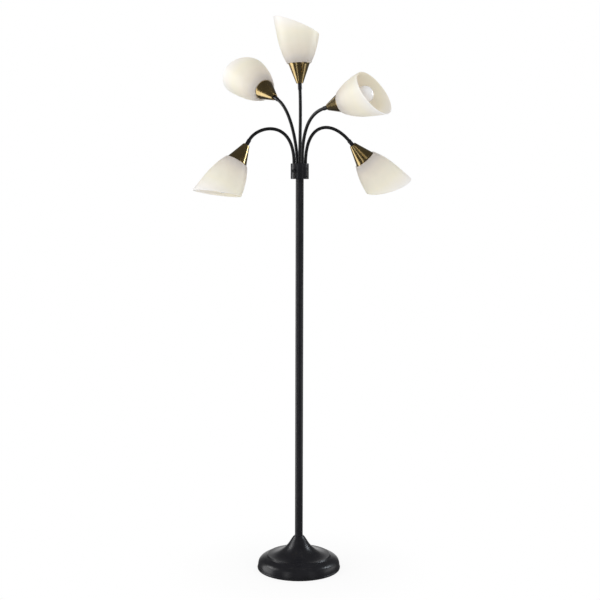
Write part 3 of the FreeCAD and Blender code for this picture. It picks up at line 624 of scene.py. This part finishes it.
def make_shade():
    piece = start_ring("shade", 1.0, 0.0, SHADE_SIDES)
    draw_up([(1.0, row / SHADE_ROWS) for row in range(SHADE_ROWS + 1)])
    bpy.ops.object.mode_set(mode="OBJECT")
    for vertex in piece.data.vertices:
        angle = math.atan2(vertex.co.y, vertex.co.x)
        height = vertex.co.z * mouth_height(angle)
        radius = shade_radius(height)
        vertex.co = (radius * math.cos(angle), radius * math.sin(angle), height)
    bpy.ops.object.mode_set(mode="EDIT")
    select_low_edges(piece, NEAR)
    foot_radius = SHADE_LINE[0][1]
    draw_up([(foot_radius, 0), (FOOT_MIDDLE * foot_radius, 0), (SHADE_HOLE_RADIUS, 0)])
    point_outwards(piece)
    apply_modifier(piece, "SOLIDIFY", thickness=SHADE_WALL, offset=-1, use_even_offset=True)
    apply_modifier(piece, "BEVEL", width=LIP_ROUND, segments=4, limit_method="ANGLE",
                   angle_limit=math.radians(LIP_ANGLE))
    piece.data.transform(Matrix.Translation((0, 0, CONE_LENGTH)))
    return finished(piece, 35)


set_on_heads(make_shade(), "shade", FROSTED)

# %% [markdown]
# ## The cones
# Each cone is spun from thin brass sheet: a small flat end with a hole for the neck's threaded stem,
# a straight flare and an open rim where the shade sits. Its edges are broken by a small round, which
# is what catches the light along the rim.

# %% Cones
CONE_SIDES = 128
CONE_ROWS = 10
CONE_ROUND = 0.35 * MM
CONE_EDGE_ANGLE = 40


def make_cone():
    piece = start_ring("cone", STEM_RADIUS, 0, CONE_SIDES)
    flare = [(CONE_SMALL_RADIUS + (CONE_RIM_RADIUS - CONE_SMALL_RADIUS) * row / CONE_ROWS,
              CONE_LENGTH * row / CONE_ROWS) for row in range(CONE_ROWS + 1)]
    draw_up([(STEM_RADIUS, 0)] + flare)
    point_outwards(piece)
    apply_modifier(piece, "SOLIDIFY", thickness=CONE_WALL, offset=-1, use_even_offset=True)
    apply_modifier(piece, "BEVEL", width=CONE_ROUND, segments=3, limit_method="ANGLE",
                   angle_limit=math.radians(CONE_EDGE_ANGLE))
    return finished(piece, 25)


set_on_heads(make_cone(), "cone", BRASS)

# %% [markdown]
# ## The bulbs
# A bulb has a glass envelope and a pressed metal cap with a rolled thread. The envelope is drawn up
# as a neck, a shoulder and a half ball and closed at its crown. The cap's thread is drawn up as a
# row of rings, a thread's pitch apart, and it ends in an insulator and a contact.

# %% Bulbs
BULB_SIDES = 64
BULB_NECK_FOOT = CAP_LENGTH + 4 * MM
GLASS_SINK, GLASS_INSET = 2 * MM, 0.4 * MM
SHOULDER_ROWS = 14
CROWN_STEP = 7
CAP_TIP_LINE = [(3.2 * MM, 0.0), (4.4 * MM, 0.7 * MM), (9.0 * MM, 4.2 * MM), (11.6 * MM, 5.4 * MM)]
THREAD_FOOT = 6.4 * MM
THREAD_PITCH = 3.6 * MM
THREAD_TURNS = 5
THREAD_DEPTH = 0.9 * MM
THREAD_RUN_OUT = 0.8 * MM
# One turn of the thread, as shares of its depth and of its pitch.
THREAD_LINE = [(1.0, 0.0), (0.25, 0.25), (0.0, 0.5), (0.25, 0.75)]
INSULATOR_FOOT, INSULATOR_TOP = 0.75 * MM, 4.9 * MM


def bezier_points(ends, steps):
    """Points along a cubic curve given by its four (radius, height) poles."""
    points = []
    for step in range(1, steps + 1):
        t = step / steps
        weights = [(1 - t) ** 3, 3 * t * (1 - t) ** 2, 3 * t * t * (1 - t), t ** 3]
        points.append(tuple(sum(w * pole[i] for w, pole in zip(weights, ends)) for i in (0, 1)))
    return points


def make_bulb_glass():
    middle = BULB_LENGTH - BULB_RADIUS
    pull = (middle - BULB_NECK_FOOT) / 2
    shoulder = bezier_points([
        (BULB_NECK_RADIUS, BULB_NECK_FOOT), (BULB_NECK_RADIUS, BULB_NECK_FOOT + pull),
        (BULB_RADIUS, middle - pull), (BULB_RADIUS, middle)], SHOULDER_ROWS)
    climbs = [math.radians(angle) for angle in range(CROWN_STEP, 90, CROWN_STEP)]
    crown = [(BULB_RADIUS * math.cos(climb), middle + BULB_RADIUS * math.sin(climb)) for climb in climbs]
    foot_radius, foot_height = CAP_RADIUS - GLASS_INSET, CAP_LENGTH - GLASS_SINK
    piece = start_ring("bulb", foot_radius, foot_height, BULB_SIDES)
    draw_up([(foot_radius, foot_height), (foot_radius, CAP_LENGTH),
             (BULB_NECK_RADIUS, BULB_NECK_FOOT)] + shoulder + crown)
    close_end()
    select_low_edges(piece, foot_height + NEAR)
    bpy.ops.mesh.edge_face_add()
    point_outwards(piece)
    piece.data.transform(Matrix.Translation((0, 0, BULB_FOOT)))
    return finished(piece, 40)


def make_bulb_cap():
    outline = list(CAP_TIP_LINE)
    height = THREAD_FOOT
    for _ in range(THREAD_TURNS):
        for depth, climb in THREAD_LINE:
            outline.append((CAP_RADIUS - depth * THREAD_DEPTH, height + climb * THREAD_PITCH))
        height += THREAD_PITCH
    outline += [(CAP_RADIUS - THREAD_DEPTH, height), (CAP_RADIUS, height + THREAD_RUN_OUT),
                (CAP_RADIUS, CAP_LENGTH)]
    piece = start_ring("cap", *outline[0], BULB_SIDES)
    draw_up(outline)
    bpy.ops.mesh.edge_face_add()
    select_low_edges(piece, NEAR)
    bpy.ops.mesh.edge_face_add()
    point_outwards(piece)
    piece.data.materials.append(NICKEL)
    piece.data.materials.append(PHENOLIC)
    for face in piece.data.polygons:
        face.material_index = 1 if INSULATOR_FOOT < face.center.z < INSULATOR_TOP else 0
    piece.data.transform(Matrix.Translation((0, 0, BULB_FOOT)))
    return finished(piece, 40)


set_on_heads(make_bulb_glass(), "bulb", OPAL)
set_on_heads(make_bulb_cap(), "bulb_cap", NICKEL, replaced=False)

# %% [markdown]
# ## The shade rings
# A threaded ring inside each shade clamps the shade to its lampholder. It is turned by hand, so it is
# moulded with grip ribs. A turned ring gets them from a wave round the axis that moves its points in,
# and the knob of the switch is made with the same helper.

# %% Ribbed pieces
COLUMNS_PER_RIB = 4
RING_RIBS = 24
RING_RIB_DEPTH = 0.7 * MM
RING_BORE_RADIUS = 19.6 * MM
RING_OUTER_RADIUS = 25 * MM
RING_FOOT = CONE_LENGTH + 2.4 * MM
RING_HEIGHT = 6 * MM
RING_ROUND = 0.6 * MM


def rib(piece, ribs, depth, inner_radius, low):
    """Set points back by a rib's depth between every two ribs, outside a radius and above a height."""
    for vertex in piece.data.vertices:
        radius = vertex.co.xy.length
        if radius > inner_radius and vertex.co.z > low:
            wave = math.sin(ribs * math.atan2(vertex.co.y, vertex.co.x))
            vertex.co.xy *= 1 - depth * max(0.0, min(1.0, 0.5 + wave)) / radius


def ring_outline(inner, outer, foot, height, edge):
    """A closed ring's outline, drawn from the inner foot round the outside to the inner foot again."""
    return [(inner, foot), (outer - edge, foot), (outer, foot + edge), (outer, foot + 2 * edge),
            (outer, foot + height - 2 * edge), (outer, foot + height - edge), (outer - edge, foot + height),
            (inner, foot + height), (inner, foot)]


def make_shade_ring():
    outline = ring_outline(RING_BORE_RADIUS, RING_OUTER_RADIUS, RING_FOOT, RING_HEIGHT, RING_ROUND)
    piece = start_ring("shade_ring", *outline[0], RING_RIBS * COLUMNS_PER_RIB)
    draw_up(outline)
    point_outwards(piece)
    rib(piece, RING_RIBS, RING_RIB_DEPTH, RING_OUTER_RADIUS - 2 * RING_ROUND, CONE_LENGTH)
    return finished(piece, 30)


set_on_heads(make_shade_ring(), "shade_ring", PHENOLIC)

# %% [markdown]
# ## The switch's knob and the set screws
# The knob stands out from the hub's side and turns for ever. It is moulded with fine flutes and a
# dished face with one pointer line. Two set screws hold the hub on the pole, each with a hexagon
# socket for a key. Both are turned pieces, set on the axis of the switch and on the screws' bearings.

# %% Knob and set screws
KNOB_RADIUS = 4.75 * MM
KNOB_LENGTH = 8.9 * MM
KNOB_FLUTES = 18
FLUTE_DEPTH = 0.4 * MM
KNOB_SHAFT_RADIUS = 2.35 * MM
KNOB_SHAFT_DEPTH = 8 * MM
KNOB_REACH = 2.8 * MM
KNOB_ROUND = 0.6 * MM
DISH_RADIUS, DISH_FLOOR_RADIUS, DISH_DEPTH = 3.3 * MM, 3 * MM, 0.4 * MM
POINTER_HALF_WIDTH = 0.5 * MM
POINTER_DEPTH = 0.5 * MM
HUB_RADIUS = (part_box("hub_body")[1].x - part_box("hub_body")[0].x) / 2
HUB_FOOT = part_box("hub_body")[0].z
SCREW_RADIUS = 2 * MM
SCREW_LENGTH = 8 * MM
SCREW_HEIGHT = 8 * MM
SCREW_SINK = 0.5 * MM
SCREW_ROUND = 0.3 * MM
SCREW_SIDES = 48
SCREW_BEARINGS = (-41, 139)
SOCKET_RADIUS, SOCKET_FLOOR_RADIUS = 1.2 * MM, 1.1 * MM
SOCKET_HALF_FLATS = 1 * MM
SOCKET_DEPTH = 1.6 * MM


def outwards(bearing, height, reach):
    """Local Z points away from the hub's axis at a bearing, starting at a reach from the axis."""
    start = turn_about("Z", bearing) @ Vector((reach, 0, 0))
    return Matrix.Translation(start + Vector((0, 0, height))) @ turn_about("Z", bearing) @ turn_about("Y", 90)


def make_knob():
    edge, top = KNOB_ROUND, KNOB_LENGTH
    piece = start_ring("knob", KNOB_SHAFT_RADIUS, -KNOB_SHAFT_DEPTH, KNOB_FLUTES * COLUMNS_PER_RIB)
    bpy.ops.mesh.edge_face_add()
    draw_up([(KNOB_SHAFT_RADIUS, -KNOB_SHAFT_DEPTH), (KNOB_SHAFT_RADIUS, 0), (KNOB_RADIUS - edge, 0),
             (KNOB_RADIUS, edge), (KNOB_RADIUS, 2 * edge), (KNOB_RADIUS, top - 2 * edge),
             (KNOB_RADIUS, top - edge), (KNOB_RADIUS - edge, top), (DISH_RADIUS, top),
             (DISH_FLOOR_RADIUS, top - DISH_DEPTH)])
    close_end()
    point_outwards(piece)
    rib(piece, KNOB_FLUTES, FLUTE_DEPTH, KNOB_RADIUS - edge / 2, 1.5 * edge)
    for vertex in piece.data.vertices:
        x, y, z = vertex.co
        if z > top - NEAR and abs(y) < POINTER_HALF_WIDTH and x > 0:
            vertex.co.z -= POINTER_DEPTH
    return finished(piece, 30)


def make_screw():
    end_radius = SCREW_RADIUS - SCREW_ROUND
    piece = start_ring("screw", end_radius, -SCREW_LENGTH, SCREW_SIDES)
    bpy.ops.mesh.edge_face_add()
    draw_up([(end_radius, -SCREW_LENGTH), (SCREW_RADIUS, SCREW_ROUND - SCREW_LENGTH),
             (SCREW_RADIUS, -SCREW_ROUND), (end_radius, 0), (SOCKET_RADIUS, 0),
             (SOCKET_FLOOR_RADIUS, -SOCKET_DEPTH)])
    close_end()
    point_outwards(piece)
    for vertex in piece.data.vertices:
        radius = vertex.co.xy.length
        if NEAR < radius < SOCKET_RADIUS + NEAR:
            turn = math.atan2(vertex.co.y, vertex.co.x) % (math.pi / 3) - math.pi / 6
            vertex.co.xy *= SOCKET_HALF_FLATS / math.cos(turn) / radius
    return finished(piece, 30)


switch_axis, switch_place = Vector(joints["switch_turn"]["axis"]), Vector(joints["switch_turn"]["pos_m"])
knob_bearing = math.degrees(math.atan2(switch_axis.y, switch_axis.x))
if switch_place.xy.dot(switch_axis.xy) < 0:
    knob_bearing += 180
knob = make_knob()
set_in_frame(knob, "switch_knob_looks", outwards(knob_bearing, switch_place.z, HUB_RADIUS + KNOB_REACH),
             "switch_knob", KNOB_PLASTIC, ["switch_knob"])
bpy.data.objects.remove(knob)
screw = make_screw()
for index, bearing in enumerate(SCREW_BEARINGS):
    set_in_frame(screw, "hub_set_screw_%d_looks" % (index + 1),
                 outwards(bearing, HUB_FOOT + SCREW_HEIGHT, HUB_RADIUS - SCREW_SINK), "stand",
                 BLACK_STEEL, ["hub_set_screws"] if index == 0 else [])
bpy.data.objects.remove(screw)
print("knob at bearing", round(knob_bearing, 1), "on a hub of radius", round(1000 * HUB_RADIUS, 1), "mm")

# %% [markdown]
# ## The necks
# A neck leaves the hub straight up and arrives in its ferrule along the head's axis. In between it takes
# the easiest bend that a hand can leave in it, and one cubic Bezier curve follows that well: its two
# inner poles say how far the neck keeps to its own way at each end. Each neck is made in two lengths,
# because one length can bend over one joint only and a neck has two.

# %% Neck lines
NECK_SIDES = 32
NECK_RINGS = 100
LENGTHS_MEET = 75
STEM_REACH = 1.5 * MM


def neck_poles(arm, root):
    """The four poles of a neck's curve, from its root on the hub to its end in the ferrule."""
    head = head_place(arm)
    way = (head.to_3x3() @ Vector((0, 0, 1))).normalized()
    end = head.translation - way * FERRULE_LENGTH
    leaving = root + Vector((0, 0, ARMS[arm]["root_pull"] * MM))
    return [root, leaving, end - way * ARMS[arm]["head_pull"] * MM, end]


def on_curve(poles, share):
    """The point and the direction at a share of a curve, by drawing its poles together."""
    while len(poles) > 2:
        poles = [before.lerp(after, share) for before, after in zip(poles, poles[1:])]
    return poles[0].lerp(poles[1], share), (poles[1] - poles[0]).normalized()


def with_runs(stops, run):
    """Points and directions, each with its run along the line."""
    line = [stops[0] + (run,)]
    for point, way in stops[1:]:
        run += (point - line[-1][0]).length
        line.append((point, way, run))
    return line


# %% [markdown]
# A ring of points is set square to the line at each step and joined to the ring before it. Each ring
# takes its direction from the ring before, so the tube doesn't twist. The map runs round the tube in u
# and along it in v, for the ribs of the sleeve.

# %% Necks


def make_neck_length(name, line):
    """A closed tube along a line, with a map for its ribs."""
    bpy.ops.object.select_all(action="DESELECT")
    bpy.ops.mesh.primitive_cylinder_add(
        vertices=NECK_SIDES, radius=NECK_RADIUS, depth=1.0, location=(0, 0, 0.5))
    piece = bpy.context.object
    piece.name = name
    bpy.ops.object.transform_apply(location=True)
    bpy.ops.object.mode_set(mode="EDIT")
    steps = len(line) - 1
    for cut in range(1, steps):
        bpy.ops.mesh.select_all(action="SELECT")
        bpy.ops.mesh.bisect(plane_co=(0, 0, cut / steps), plane_no=(0, 0, 1))
    bpy.ops.object.mode_set(mode="OBJECT")
    mesh = piece.data
    neck_map = mesh.uv_layers.active
    neck_map.name = "neck_map"
    map_round(mesh, neck_map, lambda corner: line[round(corner.z * steps)][2])
    side = line[0][1].orthogonal().normalized()
    frames = []
    for point, way, _ in line:
        side = (side - way * side.dot(way)).normalized()
        frames.append((point, side, way.cross(side)))
    for vertex in mesh.vertices:
        point, across, over = frames[round(vertex.co.z * steps)]
        vertex.co = point + across * vertex.co.x + over * vertex.co.y
    mesh.materials.append(SLEEVE)
    smooth_shading(piece, 50)
    return piece


def make_neck(arm):
    if arm == "centre":
        root, lower_body = Vector((0, 0, HUB_TOP)), "stand"
    else:
        root, lower_body = Vector(joints[arm + "_swing"]["pos_m"]), arm + "_root"
    poles = neck_poles(arm, root)
    stops = [on_curve(poles, ring / NECK_RINGS) for ring in range(NECK_RINGS + 1)]
    end, end_way = stops[-1]
    tail = root - Vector((0, 0, NECK_TAIL))
    lower_line = with_runs([(tail, stops[0][1])] + stops[:LENGTHS_MEET + 1], 0.0)
    upper_line = with_runs(stops[LENGTHS_MEET:] + [(end + end_way * STEM_REACH, end_way)], lower_line[-1][2])
    lower = make_neck_length(arm + "_neck_lower_looks", lower_line)
    upper = make_neck_length(arm + "_neck_upper_looks", upper_line)
    for piece, half in ((lower, "lower"), (upper, "upper")):
        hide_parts(arm + "_neck_" + half)
    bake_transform(lower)
    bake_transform(upper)


for arm in ARMS:
    make_neck(arm)

# %% [markdown]
# ## The felt
# The foot stands on a disc of pressed wool felt, whose cut edge shows as a dark line on the floor.
# It is cut from flat sheet, so it is modelled as a disc with a rounded edge.

# %% Felt
low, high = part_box("base_felt")
FELT_RADIUS = (high.x - low.x) / 2
FELT_THICKNESS = high.z - low.z
FELT_CENTRE, FELT_MIDDLE = 1 * MM, 0.6 * FELT_RADIUS
FELT_SIDES = 160
# The cut edge: how far in from the radius, and the share of the thickness.
FELT_EDGE = [(0.5 * MM, 0.0), (0.1 * MM, 0.3), (0.0, 0.5), (0.15 * MM, 0.8), (0.5 * MM, 1.0)]
felt = start_ring("base_felt_looks", FELT_CENTRE, 0.0, FELT_SIDES)
edge_line = [(FELT_RADIUS - inset, share * FELT_THICKNESS) for inset, share in FELT_EDGE]
draw_up([(FELT_CENTRE, 0.0), (FELT_MIDDLE, 0.0)] + edge_line
        + [(FELT_MIDDLE, FELT_THICKNESS), (FELT_CENTRE, FELT_THICKNESS)])
bpy.ops.mesh.edge_face_add()
select_low_edges(felt, NEAR, FELT_CENTRE + NEAR)
bpy.ops.mesh.edge_face_add()
point_outwards(felt)
felt.data.materials.append(FELT)
smooth_shading(felt, 60)
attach(felt, "stand")
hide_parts("base_felt")
print("felt", round(2000 * FELT_RADIUS, 1), "mm across")

# %% [markdown]
# ## The studio
# The photograph was taken against a white ground in soft, even light, and its black metal mirrors a dark
# studio with only a few panels. The floor holds a faint shadow round the foot and fades to pure white
# away from it. It isn't mirrored, because its white would turn the black enamel grey.

# %% Floor
FLOOR_HALF = 12.0
FADE_START, FADE_END = 0.15, 0.45
NEAR_SHARE = 0.86

bpy.ops.object.select_all(action="DESELECT")
bpy.ops.mesh.primitive_plane_add(size=2 * FLOOR_HALF, location=(0, 0, 0))
floor = bpy.context.object
floor.name = "studio_floor"
floor_paint = bpy.data.materials.new("studio_floor_paint")
floor_paint.use_nodes = True
tree = floor_paint.node_tree
tree.nodes.clear()
place = add_node(tree, "ShaderNodeTexCoord")
distance = add_node(tree, "ShaderNodeVectorMath", {"operation": "LENGTH"}, {0: place.outputs["Object"]})
fade = spread(tree, distance.outputs["Value"], (FADE_START, FADE_END), (NEAR_SHARE, 1.0), "SMOOTHSTEP")
rays = add_node(tree, "ShaderNodeLightPath")
seen = add_node(tree, "ShaderNodeMath", {"operation": "MAXIMUM"}, {
    0: rays.outputs["Is Camera Ray"], 1: rays.outputs["Is Transmission Ray"]})
share = add_node(tree, "ShaderNodeMath", {"operation": "MULTIPLY"}, {
    0: fade.outputs["Result"], 1: seen.outputs["Value"]})
paint = add_node(tree, "ShaderNodeBsdfDiffuse", inputs={"Color": linear("#f4f4f4")})
ground = add_node(tree, "ShaderNodeEmission", inputs={"Color": (1, 1, 1, 1), "Strength": 1.0})
both = add_node(tree, "ShaderNodeMixShader", inputs={
    0: share.outputs["Value"], 1: paint.outputs["BSDF"], 2: ground.outputs["Emission"]})
add_node(tree, "ShaderNodeOutputMaterial", inputs={"Surface": both.outputs["Shader"]})
floor.data.materials.append(floor_paint)
floor.visible_glossy = False
print("floor fades to white between", FADE_START, "and", FADE_END, "m")

# %% [markdown]
# The world is white to the camera and plain as a light. In reflections it is dark, apart from the white
# ground straight behind the lamp.

# %% World
PLAIN_LEVEL = 0.78
GLOSS_FRONT = 0.09
BEHIND_START, BEHIND_END = 0.90, 0.99

world = bpy.data.worlds.new("studio")
bpy.context.scene.world = world
world.use_nodes = True
tree = world.node_tree
tree.nodes.clear()
place = add_node(tree, "ShaderNodeTexCoord")
split = add_node(tree, "ShaderNodeSeparateXYZ", inputs={"Vector": place.outputs["Generated"]})
behind = spread(tree, split.outputs["Y"], (BEHIND_START, BEHIND_END), (GLOSS_FRONT, 1.0), "SMOOTHSTEP")
rays = add_node(tree, "ShaderNodeLightPath")
seen = add_node(tree, "ShaderNodeMath", {"operation": "MAXIMUM"}, {
    0: rays.outputs["Is Camera Ray"], 1: rays.outputs["Is Transmission Ray"]})
plain = add_node(tree, "ShaderNodeMix", {"data_type": "FLOAT"}, {
    0: rays.outputs["Is Glossy Ray"], 2: PLAIN_LEVEL, 3: behind.outputs["Result"]})
strength = add_node(tree, "ShaderNodeMix", {"data_type": "FLOAT"}, {
    0: seen.outputs["Value"], 2: plain.outputs[0], 3: 1.0})
ground = add_node(tree, "ShaderNodeBackground", inputs={
    "Color": (1, 1, 1, 1), "Strength": strength.outputs[0]})
add_node(tree, "ShaderNodeOutputWorld", inputs={"Surface": ground.outputs["Background"]})
print("world", world.name, "lights at", PLAIN_LEVEL)

# %% [markdown]
# Soft lamps light the surfaces but aren't mirrored, and panels are mirrored but light nothing: a broad
# one straight to the left, small ones high on both sides, narrow ones on either side of the camera and
# a low card on the right. The panels make the pole's highlight, the bright spots on the foot and the
# bands on the brass.

# %% Soft lamps and panels
# Each lamp: its bearing in degrees, 0 towards the camera and positive to the right, then its distance,
# height, width and tallness in metres, its radiance and its colour, if it isn't white.
DAYLIGHT = (0.86, 0.93, 1.0)
SOFT_LAMPS = {
    "left_soft": (-62, 2.6, 1.4, 0.8, 2.0, 4.0),
    "right_soft": (45, 3.0, 1.5, 0.8, 1.6, 3.0),
    "back_soft": (165, 2.6, 2.2, 1.2, 1.2, 2.0),
}
PANELS = {
    "left_panel": (-96, 2.4, 0.9, 1.7, 3.0, 2.0),
    "left_high_panel": (-104, 2.2, 1.8, 0.5, 0.5, 7.0),
    "right_high_panel": (107, 2.2, 1.75, 0.6, 0.7, 12.0, DAYLIGHT),
    "left_narrow_panel": (-33, 3.0, 0.8, 0.5, 3.2, 1.3),
    "right_narrow_panel": (36, 3.0, 0.8, 0.4, 3.2, 0.6),
    "right_low_card": (96, 2.0, 0.3, 1.6, 1.0, 1.1),
}


def area_lamp(name, bearing, distance, height, width, tall, radiance, colour=(1, 1, 1)):
    """An upright area light that faces the lamp."""
    data = bpy.data.lights.new(name, "AREA")
    data.shape = "RECTANGLE"
    data.size, data.size_y = width, tall
    data.energy = radiance * math.pi * width * tall
    data.color = colour
    lamp = bpy.data.objects.new(name, data)
    angle = math.radians(bearing)
    lamp.location = (distance * math.sin(angle), -distance * math.cos(angle), height)
    lamp.rotation_euler = (math.pi / 2, 0, angle)
    bpy.context.scene.collection.objects.link(lamp)
    return lamp


for name, sizes in SOFT_LAMPS.items():
    area_lamp(name, *sizes).visible_glossy = False
for name, sizes in PANELS.items():
    area_lamp(name, *sizes).visible_diffuse = False
print("lamps", len(bpy.data.lights))
